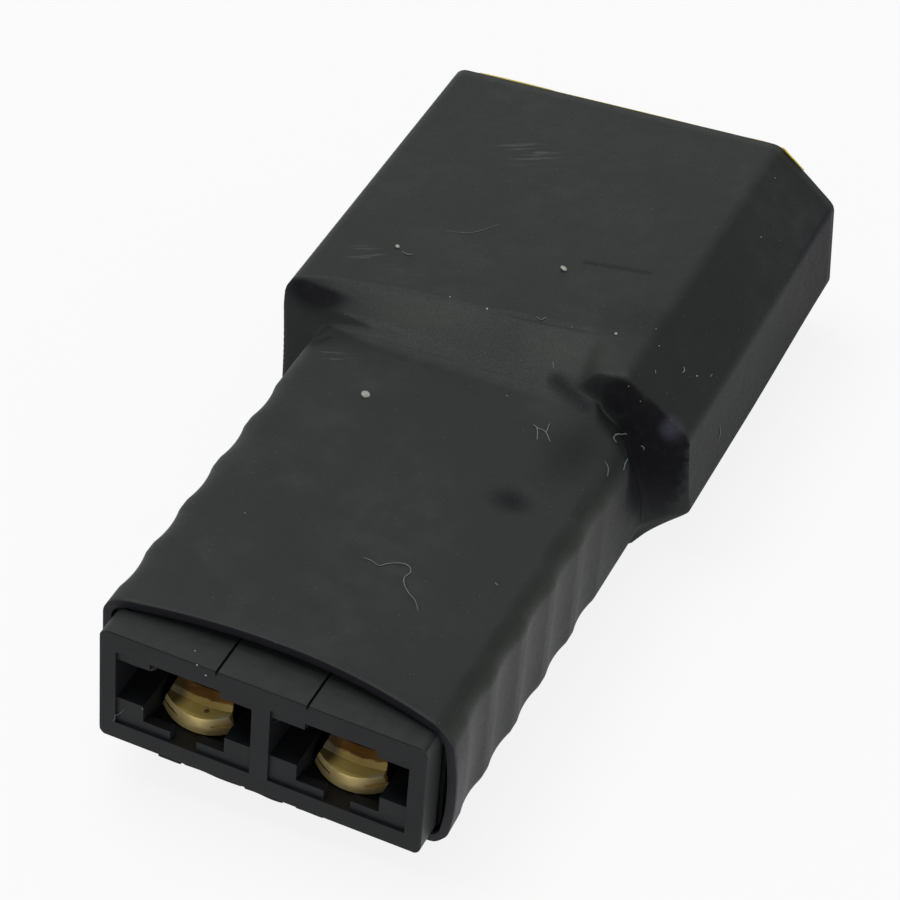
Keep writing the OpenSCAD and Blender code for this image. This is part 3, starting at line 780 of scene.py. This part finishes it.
        along = g.math("ADD", g.math("SUBTRACT", place.outputs["Y"], given["First fin"]), by_side("shift"))
        turns = g.math("DIVIDE", along, given["Fin pitch"])
        away = g.times(g.math("ABSOLUTE", g.math("SUBTRACT", turns, g.math("ROUND", turns))),
                      given["Fin pitch"])
        room = g.math("DIVIDE", g.math("SUBTRACT", given["Fin pitch"], given["Fin width"]), 2.0)
        share = g.math("DIVIDE", g.math("SUBTRACT", away, g.math("DIVIDE", given["Fin width"], 2.0)),
                       room, clamp=True)
        arch = g.times(share, g.math("SUBTRACT", 2.0, share))
        inside = g.times(g.math("GREATER_THAN", turns, 0.0),
                        g.math("LESS_THAN", turns, g.math("SUBTRACT", given["Fin count"], 1.0)))
        depth = g.times(arch, inside, g.times(g.attribute("ripple"), by_side("sag")))
        offset = g.scaled(g.attribute("inward", "FLOAT_VECTOR"), depth)
        moved = g.add("GeometryNodeSetPosition", {"Geometry": given["Geometry"], "Offset": offset})
        return close_tree(g, moved, given["Material"])

    def build(self) -> Thing:
        """Makes the sleeve, ripples it and puts it in the place of the CAD sleeve."""
        sleeve = self.skin()
        run_tree(sleeve, self.ripple_tree(), {
            "First fin": (self.first_fin + FACE_Y) * MM, "Fin pitch": self.fin_pitch * MM,
            "Fin width": self.fin_width * MM, "Fin count": float(self.fin_count),
            "Left sag": self.sag[0] * MM, "Right sag": self.sag[1] * MM,
            "Left shift": self.fin_shift[0] * MM, "Right shift": self.fin_shift[1] * MM,
            "Material": self.finishes.sleeve})
        for name in ("ripple", "inward"):
            layer = sleeve.data.attributes.get(name)
            if layer:
                sleeve.data.attributes.remove(layer)
        sleeve.data.shade_smooth()
        for face in sleeve.data.polygons:
            if abs(face.normal.y) > 0.8 and face.center.y < (FACE_Y + 3.4) * MM:
                face.use_smooth = False
        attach(sleeve, BODY)
        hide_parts("heat_shrink_sleeve")
        return sleeve


def curved(places: Sequence[Point], steps: int = 6) -> np.ndarray:
    """A smooth curve through places.

    Args:
        places: the places in order.
        steps: points for each stretch.
    Returns:
        Rows of x, distance from the face, height above the middle.
    """
    p = np.array([places[0], *places, places[-1]], float)
    rows = [p[1]]
    for a, b, c, d in zip(p, p[1:], p[2:], p[3:]):
        for t in np.arange(1, steps + 1) / steps:
            rows.append(0.5 * (2 * b + (c - a) * t + (2 * a - 5 * b + 4 * c - d) * t ** 2
                               + (3 * b - a - 3 * c + d) * t ** 3))
    return np.array(rows)


class Ground:
    """The surface of finished pieces, for small things that lie on it."""

    def __init__(self, *things: Thing) -> None:
        """Reads the pieces' faces."""
        points: list[Vector] = []
        faces: list[list[int]] = []
        for thing in things:
            first = len(points)
            points += [corner.co.copy() for corner in thing.data.vertices]
            faces += [[first + n for n in face.vertices] for face in thing.data.polygons]
        self.tree = BVHTree.FromPolygons(points, faces)

    def rest(self, place: Sequence[float], lift: float) -> Vector:
        """The place on the surface nearest to a given one, lifted by so many millimetres."""
        hit, normal, _, _ = self.tree.find_nearest(Vector(to_part(np.array([place]))[0]))
        return hit + normal * lift * MM


@dataclass(frozen=True)
class Thread:
    """One lint thread or curl of flash: the places that it passes and its width."""
    width: float
    places: tuple[Point, ...]


@dataclass
class Litter:
    """What lies on the adapter: lint threads, grit, fine dust, and flash left by the mould."""
    finishes: Finishes
    sleeve: Thing
    housing: Thing
    lint: tuple[Thread, ...] = (
        Thread(0.055, ((0.9, 9.75, 3.9), (1.3, 9.75, 3.8), (1.75, 9.6, 3.8), (2.05, 9.9, 3.8),
                       (2.5, 10.2, 3.8),
                       (3.0, 10.25, 3.8), (3.3, 9.9, 3.75), (3.2, 9.4, 3.75), (3.4, 8.95, 3.7),
                       (3.85, 8.5, 3.7), (4.3, 8.2, 3.65), (4.75, 7.6, 3.6))),
        Thread(0.06, ((4.24, 22.43, 3.7), (4.55, 22.25, 3.7), (4.86, 21.5, 3.64))),
        Thread(0.06, ((4.46, 22.3, 3.7), (4.98, 22.24, 3.63), (5.49, 21.67, 3.58))),
        Thread(0.06, ((4.96, 22.85, 3.7), (5.05, 22.19, 3.63))),
        Thread(0.07, ((8.38, 23.29, 3.27), (8.15, 23.52, 3.35), (8.03, 24.37, 2.88), (8.13, 25.26, 2.29),
                      (8.54, 25.35, 2.52))),
        Thread(0.05, ((9.04, 23.22, 2.5), (9.15, 22.62, 2.7), (9.23, 22.17, 2.6))),
        Thread(0.04, ((8.47, 21.63, 3.3), (8.74, 21.37, 3.2), (8.9, 20.87, 3.1))),
        Thread(0.06, ((9.65, 29.2, 4.2), (9.74, 29.0, 4.1), (9.68, 28.76, 4.1))),
        Thread(0.05, ((8.76, 27.47, 4.97), (8.85, 27.3, 4.9))),
        Thread(0.05, ((10.75, 30.4, 3.2), (10.73, 30.1, 3.2))),
        Thread(0.05, ((11.38, 30.03, 0.39), (11.38, 30.23, -0.29), (11.38, 29.98, -0.64))),
        Thread(0.06, ((8.92, 25.37, 1.7), (9.07, 25.39, 1.62), (9.05, 25.38, 1.42))),
        Thread(0.05, ((7.17, 11.09, 3.43), (7.38, 10.97, 3.41))),
        Thread(0.035, ((5.91, 25.55, 4.31), (6.1, 25.73, 4.6))),
        Thread(0.035, ((6.08, 25.41, 4.21), (6.27, 25.59, 4.5))),
        Thread(0.05, ((3.67, 26.29, 4.75), (3.85, 26.0, 4.6))),
        Thread(0.05, ((1.9, 28.3, 5.7), (2.17, 28.2, 5.65), (2.4, 28.4, 5.7))),
        Thread(0.05, ((-6.75, 30.62, 5.7), (-6.45, 30.5, 5.7), (-6.1, 30.6, 5.7))),
        Thread(0.025, ((-5.4, 33.2, 5.7), (-4.36, 33.44, 5.7), (-3.75, 33.9, 5.7), (-3.04, 34.88, 5.7))),
    )
    hair: tuple[Thread, ...] = (Thread(0.03, ((-7.95, 0.0, -1.7), (-7.6, 0.0, -1.2), (-7.3, 0.0, -0.8))),)
    flash: tuple[Thread, ...] = (
        Thread(0.3, ((-7.3, 0.45, 2.35), (-6.8, 0.42, 2.28), (-6.2, 0.45, 2.25), (-5.5, 0.42, 2.1))),
        Thread(0.09, ((0.35, 0.4, 1.1), (0.93, 0.4, 1.16), (1.5, 0.4, 1.2), (1.75, 0.45, 1.45),
                      (2.1, 0.4, 1.5), (2.55, 0.4, 1.42))),
        Thread(0.07, ((1.4, 0.5, 1.3), (1.9, 0.4, 1.28), (2.5, 0.45, 1.3))),
        Thread(0.2, ((-5.6, 0.1, -3.0), (-5.1, 0.14, -3.05), (-4.4, 0.1, -3.1))),
        Thread(0.12, ((-4.2, 0.1, -3.1), (-3.3, 0.16, -3.2), (-2.3, 0.1, -3.25), (-1.2, 0.1, -3.35))),
        Thread(0.17, ((-1.0, 0.1, -3.35), (-0.4, 0.16, -3.4), (0.4, 0.1, -3.5), (1.0, 0.1, -3.55))),
        Thread(0.13, ((1.7, 0.1, -3.6), (2.2, 0.14, -3.65), (3.1, 0.1, -3.75))),
    )
    rim: tuple[Thread, ...] = (
        Thread(0.15, ((-9.9, 47.5, 5.6), (-8.6, 47.5, 5.6), (-7.2, 47.5, 5.6), (-5.4, 47.5, 5.6))),
        Thread(0.1, ((-6.2, 47.5, 5.6), (-3.0, 47.5, 5.6), (0.0, 47.5, 5.6), (3.4, 47.5, 5.6))),
        Thread(0.08, ((2.6, 47.5, 5.6), (4.4, 47.5, 5.6), (6.2, 47.5, 5.6))),
        Thread(0.1, ((5.9, 47.5, 5.6), (7.0, 47.5, 5.6), (7.9, 47.5, 5.5), (8.6, 47.5, 5.2),
                     (9.4, 47.5, 4.4))),
    )
    grit: tuple[tuple[float, Point], ...] = (
        (0.26, (-7.14, 30.9, 5.7)), (0.36, (1.6, 32.55, 5.7)),
        (0.38, (-4.08, 20.46, 4.4)), (0.07, (-2.83, 28.04, 5.7)), (0.1, (-0.7, 27.93, 5.65)),
        (0.15, (6.17, 28.56, 5.69)), (0.055, (9.41, 40.92, 4.39)), (0.055, (8.55, 45.26, 5.15)),
        (0.055, (-5.47, 9.8, 4.52)), (0.055, (3.86, 28.3, 5.62)), (0.06, (7.86, 29.8, 5.65)),
        (0.06, (8.37, 28.96, 5.32)), (0.055, (2.23, 23.77, 3.94)), (0.045, (8.08, 25.66, 5.11)),
        (0.06, (8.76, 25.61, 4.4)), (0.09, (10.29, 29.45, 3.62)))
    face_grit: tuple[tuple[float, Point], ...] = (
        (0.06, (-6.3, 0.1, -0.4)), (0.08, (-3.05, 0.02, 3.75)), (0.09, (-2.6, 0.0, 3.3)),
        (0.07, (-3.54, 0.77, 3.82)))
    dust_per_mm2: float = 0.45
    dust_size: tuple[float, float] = (0.018, 0.05)
    seed: int = 7

    def thread_tree(self) -> bpy.types.NodeTree:
        """Sweeps round threads along edges, as thick as the edges' points say."""
        g, given = open_tree("lint_sweep", "Thread size", "Sides")
        thick = g.attribute("thick")
        path = g.add("GeometryNodeMeshToCurve", {0: given["Geometry"]})
        path = g.add("GeometryNodeSetCurveRadius", {"Curve": path, "Radius": thick})
        round_ = g.add("GeometryNodeCurvePrimitiveCircle", {"Resolution": given["Sides"],
                                                            "Radius": given["Thread size"]})
        swept = g.add("GeometryNodeCurveToMesh", {"Curve": path, "Profile Curve": round_, "Fill Caps": True})
        if "Scale" in swept.inputs:
            g.put(swept.inputs["Scale"], thick)
        return close_tree(g, swept, given["Material"])

    def grain_tree(self) -> bpy.types.NodeTree:
        """Puts a grain on every point, turned and scaled at random from a fixed seed."""
        g, given = open_tree("grit_grains", "Grain size", "Seed")
        grain = g.add("GeometryNodeMeshIcoSphere", {"Radius": given["Grain size"], "Subdivisions": 2})
        uneven, turn = (
            g.add("FunctionNodeRandomValue", {0: low, 1: high, "Seed": given["Seed"]},
                  data_type="FLOAT_VECTOR")
            for low, high in (((0.7, 0.7, 0.5), (1.3, 1.2, 0.9)), ((0, 0, 0), (0.5, 0.5, 6.2))))
        placed = g.add("GeometryNodeInstanceOnPoints", {
            "Points": given["Geometry"], "Instance": grain, "Rotation": turn.outputs[0],
            "Scale": g.scaled(uneven.outputs[0], g.attribute("size"))})
        return close_tree(g, placed, given["Material"])

    def dust_tree(self) -> bpy.types.NodeTree:
        """Scatters flat specks over the faces that look upwards."""
        g, given = open_tree("dust_scatter", "Specks per area", "Smallest", "Largest", "Middle height",
                             "Seed")
        facing = g.add("ShaderNodeSeparateXYZ", {0: g.add("GeometryNodeInputNormal")}).outputs["Z"]
        height = g.add("ShaderNodeSeparateXYZ", {0: g.add("GeometryNodeInputPosition")}).outputs["Z"]
        top = g.times(g.math("GREATER_THAN", facing, 0.25),
                     g.math("GREATER_THAN", height, given["Middle height"]))
        spots = g.add("GeometryNodeDistributePointsOnFaces", {
            "Mesh": given["Geometry"], "Selection": top, "Density": given["Specks per area"],
            "Seed": given["Seed"]})
        size = g.add("FunctionNodeRandomValue", {2: given["Smallest"], 3: given["Largest"],
                                                 "Seed": given["Seed"]}, data_type="FLOAT")
        speck = g.add("GeometryNodeMeshIcoSphere", {"Radius": 1.0, "Subdivisions": 1})
        placed = g.add("GeometryNodeInstanceOnPoints", {
            "Points": spots, "Instance": speck, "Rotation": spots.outputs["Rotation"],
            "Scale": g.scaled((1.0, 0.8, 0.5), size.outputs[1])})
        return close_tree(g, placed, given["Material"])

    def base(self, name: str, points: Sequence[Vector], edges: Sequence[tuple[int, int]], layer: str,
             values: Sequence[float]) -> Thing:
        """A piece of bare points or edges with one number on each point."""
        mesh = bpy.data.meshes.new(name)
        mesh.from_pydata([tuple(point) for point in points], list(edges), [])
        mesh.attributes.new(layer, "FLOAT", "POINT").data.foreach_set("value", list(values))
        return linked(name, mesh)

    def threads(self, name: str, threads: Sequence[Thread], ground: Ground, material: Material,
                slot: str, sides: int = 6) -> Thing:
        """Lays threads on a surface.

        Args:
            name: the piece's name.
            threads: the threads.
            ground: the surface under them.
            material: their finish.
            slot: not used.
            sides: how many sides a thread's section has.
        Returns:
            The finished piece.
        """
        points: list[Vector] = []
        edges: list[tuple[int, int]] = []
        widths: list[float] = []
        for thread in threads:
            line = curved(thread.places)
            first = len(points)
            points += [ground.rest(place, thread.width * 0.45) for place in line]
            edges += [(first + n, first + n + 1) for n in range(len(line) - 1)]
            ends = np.sin(np.pi * np.linspace(0.12, 0.88, len(line))) ** 0.6
            widths += list(thread.width / 2 * ends)
        piece = self.base(name, points, edges, "thick", widths)
        run_tree(piece, self.thread_tree(), {"Thread size": MM, "Sides": sides, "Material": material})
        return self.keep(piece)

    def grains(self, name: str, grains: Sequence[tuple[float, Point]], ground: Ground,
               slot: str) -> Thing:
        """Puts grains of given widths on a surface."""
        points = [ground.rest(place, size * 0.15) for size, place in grains]
        piece = self.base(name, points, [], "size", [size / 2 for size, _ in grains])
        run_tree(piece, self.grain_tree(), {
            "Grain size": MM, "Seed": self.seed, "Material": self.finishes.grit})
        return self.keep(piece)

    def dust(self) -> Thing:
        """Scatters fine dust over the sleeve's upper side."""
        piece = linked("fine_dust", self.sleeve.data.copy())
        run_tree(piece, self.dust_tree(), {
            "Specks per area": self.dust_per_mm2 / MM ** 2, "Smallest": self.dust_size[0] * MM,
            "Largest": self.dust_size[1] * MM, "Middle height": MID_Z * MM, "Seed": self.seed,
            "Material": self.finishes.dust})
        return self.keep(piece)

    def keep(self, piece: Thing) -> Thing:
        """Smooths a small piece and lets it ride."""
        piece.data.shade_smooth()
        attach(piece, BODY)
        return piece

    def build(self) -> list[Thing]:
        """Makes everything that lies on the adapter."""
        sleeve, housing = Ground(self.sleeve), Ground(self.housing)
        return [
            self.threads("lint_threads", self.lint, sleeve, self.finishes.lint, "sleeve_black"),
            self.threads("face_hair", self.hair, housing, self.finishes.lint, "housing_black"),
            self.threads("moulding_flash", self.flash, housing, self.finishes.housing, "housing_black", 8),
            self.threads("rim_flash", self.rim, sleeve, self.finishes.plug, "plug_yellow"),
            self.grains("sleeve_grit", self.grit, sleeve, "sleeve_black"),
            self.grains("face_grit", self.face_grit, housing, "housing_black"),
            self.dust(),
        ]


@dataclass(frozen=True)
class PhotoCamera:
    """The camera of the photo, found by fitting it to the object's corners."""
    azimuth: float = 25.029
    elevation: float = 39.595
    roll: float = -1.026
    distance: float = 188.109
    aside: float = -1.817
    above: float = -1.561
    lens: float = 145.373
    aim: Point = (0.0, 26.0, 0.0)

    def build(self) -> Thing:
        """Makes the camera and sets it as the scene's."""
        az, el, roll = (math.radians(v) for v in (self.azimuth, self.elevation, self.roll))
        back = Vector((math.sin(az) * math.cos(el), -math.cos(az) * math.cos(el), math.sin(el)))
        right = Vector((math.cos(az), math.sin(az), 0.0))
        up = back.cross(right)
        across = right * math.cos(roll) + up * math.sin(roll)
        upward = up * math.cos(roll) - right * math.sin(roll)
        aim = Vector(to_part(np.array([self.aim]))[0])
        place = aim + (back * self.distance + across * self.aside + upward * self.above) * MM
        data = bpy.data.cameras.new("photo_camera")
        data.lens, data.sensor_width, data.sensor_fit = self.lens, 36.0, "HORIZONTAL"
        data.clip_start, data.clip_end = 0.01, 10.0
        camera = linked("photo_camera", data)
        camera.matrix_world = Matrix.Translation(place) @ Matrix(
            (across, upward, back)).transposed().to_4x4()
        bpy.context.scene.camera = camera
        return camera


class Lamp(Enum):
    """The studio's lamps: where each stands, its size and its power."""
    OVERHEAD = ((-0.10, 0.02, 0.42), (0.30, 0.26), 1.0)
    FRONT_RIGHT = ((0.40, -0.36, 0.06), (0.22, 0.12), 0.65)


class Card(Enum):
    """Dark cards that soften reflections: the middle of each and its size."""
    BEHIND_CAMERA = ((-0.10, -0.30, 0.36), (0.34, 0.26))
    BACK_RIGHT = ((0.34, 0.36, 0.17), (0.34, 0.24))


@dataclass(frozen=True)
class Studio:
    """Pale floor, white surroundings and soft lamps."""
    floor_size: float = 3.0
    floor_gap: float = 0.00002
    middle: Point = (0.0, 0.0, 0.005)
    floor_colour: Colour = (0.82, 0.82, 0.82)
    white_share: float = 0.86
    # Painted shade: the floor's white in reflections fades from front to back, for the shadow beside the
    # part.
    mirrored_floor: tuple[float, float] = (0.85, 0.03)
    mirrored_from: tuple[float, float] = (-0.008, 0.012)
    sky: float = 0.38
    card_tones: tuple[Colour, Colour] = ((0.02, 0.02, 0.02), (0.03, 0.03, 0.03))

    def seen(self, g: Graph, mirrored: Any = 1.0) -> Socket:
        """1 for camera rays, and the mirrored share for rays off metal or through glass."""
        path = g.add("ShaderNodeLightPath").outputs
        both = g.most(path["Is Glossy Ray"], path["Is Transmission Ray"])
        return g.most(path["Is Camera Ray"], g.times(both, mirrored))

    def floor(self) -> Thing:
        """Makes the floor, white to the camera apart from a light shadow."""
        mesh = bpy.data.meshes.new("floor")
        half = self.floor_size / 2
        mesh.from_pydata([(-half, -half, 0), (half, -half, 0), (half, half, 0), (-half, half, 0)], [],
                         [(0, 1, 2, 3)])
        floor = linked("floor", mesh)
        floor.location.z = -self.floor_gap
        g = ShaderGraph("floor_white")
        g.set(Base_Color=(*self.floor_colour, 1.0), Roughness=0.9, Specular_IOR_Level=0.0)
        glow = g.add("ShaderNodeEmission", {"Color": (1, 1, 1, 1), "Strength": 1.0})
        # Painted shade: less white in reflections towards the back.
        back = g.add("ShaderNodeSeparateXYZ", {0: g.place}).outputs["Y"]
        mirrored = g.band(back, *self.mirrored_from, *self.mirrored_floor)
        share = g.times(self.seen(g, mirrored), self.white_share)
        both = g.add("ShaderNodeMixShader", {0: share, 1: g.shader.outputs[0], 2: glow})
        output = next(n for n in g.nodes if n.type == "OUTPUT_MATERIAL")
        g.put(output.inputs[0], both)
        mesh.materials.append(g.material)
        return floor

    def world(self) -> None:
        """White to the camera and in reflections, a soft grey sky as light."""
        world = bpy.data.worlds.new("studio")
        world.use_nodes = True
        bpy.context.scene.world = world
        g = Graph(world.node_tree)
        g.nodes.clear()
        strength = g.math("ADD", g.times(self.seen(g), 1.0 - self.sky), self.sky)
        light = g.add("ShaderNodeBackground", {"Color": (1, 1, 1, 1), "Strength": strength})
        g.add("ShaderNodeOutputWorld", {0: light})

    def lamps(self) -> None:
        """Hangs the lamps, each aimed at the part."""
        for lamp in Lamp:
            place, size, power = lamp.value
            data = bpy.data.lights.new(lamp.name.lower(), "AREA")
            data.shape, data.size, data.size_y, data.energy = "RECTANGLE", size[0], size[1], power
            thing = linked(lamp.name.lower(), data)
            thing.location = place
            towards = Vector(self.middle) - Vector(place)
            thing.rotation_euler = towards.to_track_quat("-Z", "Y").to_euler()

    def cards(self) -> None:
        """Stands up the dark cards, which the camera doesn't see."""
        for card in Card:
            place, size = card.value
            mesh = bpy.data.meshes.new(card.name.lower())
            w, h = size[0] / 2, size[1] / 2
            mesh.from_pydata([(-w, -h, 0), (w, -h, 0), (w, h, 0), (-w, h, 0)], [], [(0, 1, 2, 3)])
            thing = linked(card.name.lower(), mesh)
            turn = (Vector(place) - Vector(self.middle)).to_track_quat("Z", "Y")
            mesh.transform(Matrix.Translation(place) @ turn.to_matrix().to_4x4())
            thing.visible_camera = thing.visible_shadow = thing.visible_diffuse = False
            mesh.materials.append(PlainFinish("dark_card", *self.card_tones, rough=1.0).material())

    def build(self) -> None:
        """Makes the whole studio."""
        self.floor()
        self.world()
        self.lamps()
        self.cards()


def dress(node: str, material: Material) -> None:
    """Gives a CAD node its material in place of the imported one."""
    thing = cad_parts[node]
    thing.data.materials.clear()
    thing.data.materials.append(material)
    log.info("dressed %s", node)


def main() -> None:
    """Builds the studio, the camera and every piece."""
    logging.basicConfig(level=logging.INFO, format="%(name)s: %(message)s")
    bpy.context.scene.view_settings.view_transform = "Standard"
    PhotoCamera().build()
    Studio().build()
    finishes = Finishes()
    for side in ("left", "right"):
        dress(f"contact_{side}", finishes.contact)
        dress(f"bullet_pin_{side}", finishes.pin)
        dress(f"solder_{side}", finishes.solder)
    dress("socket_housing", finishes.housing)
    dress("plug_housing", finishes.plug)
    sleeve = ShrinkSleeve(finishes).build()
    log.info("built %s with %d faces", sleeve.name, len(sleeve.data.polygons))
    for piece in Litter(finishes, sleeve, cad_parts["socket_housing"]).build():
        log.info("built %s with %d faces", piece.name, len(piece.data.polygons))


if __name__ == "__main__":
    main()
